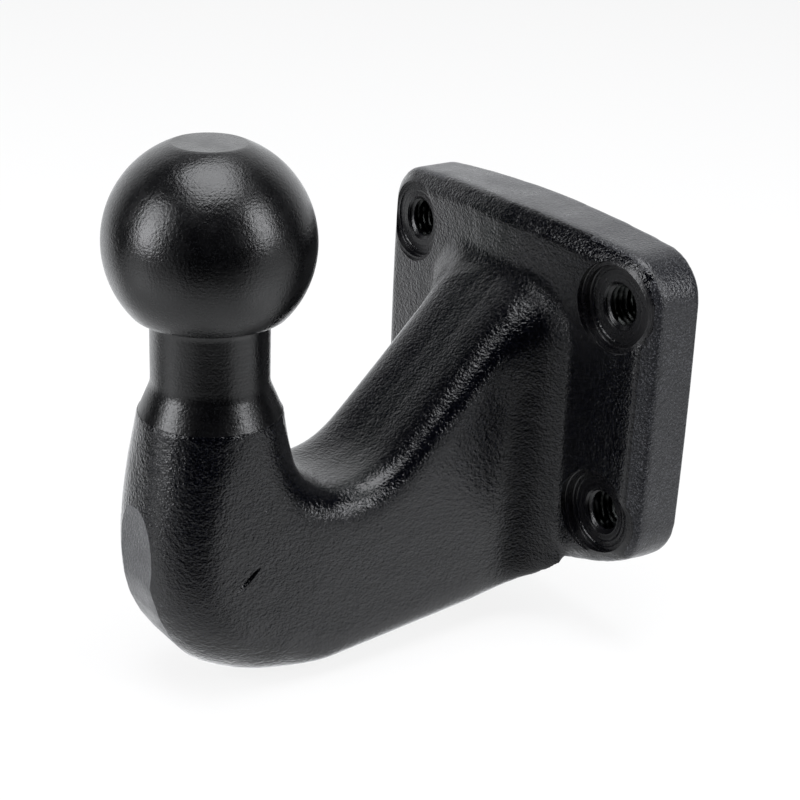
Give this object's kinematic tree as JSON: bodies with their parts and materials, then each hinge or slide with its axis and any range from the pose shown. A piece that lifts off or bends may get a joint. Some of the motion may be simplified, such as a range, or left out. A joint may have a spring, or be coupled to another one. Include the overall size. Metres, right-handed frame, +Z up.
{
  "type": "flanged tow ball",
  "caption": "Tow ball with a turned neck on a bent forged arm that flares into a bolt-on flange with spotfaced tapped holes.",
  "frame": {"origin": "middle of the bolt pattern, on the flange's mounting face", "axes": "+X out of the mounting face, towards the vehicle; the ball stands at -X; +Z up through the ball; Y across the flange"},
  "size_m": [0.131, 0.11, 0.1367],
  "materials": {
    "black_steel": "satin"
  },
  "bodies": {
    "root": {"tow_ball": "black_steel"}
  },
  "joints": []
}
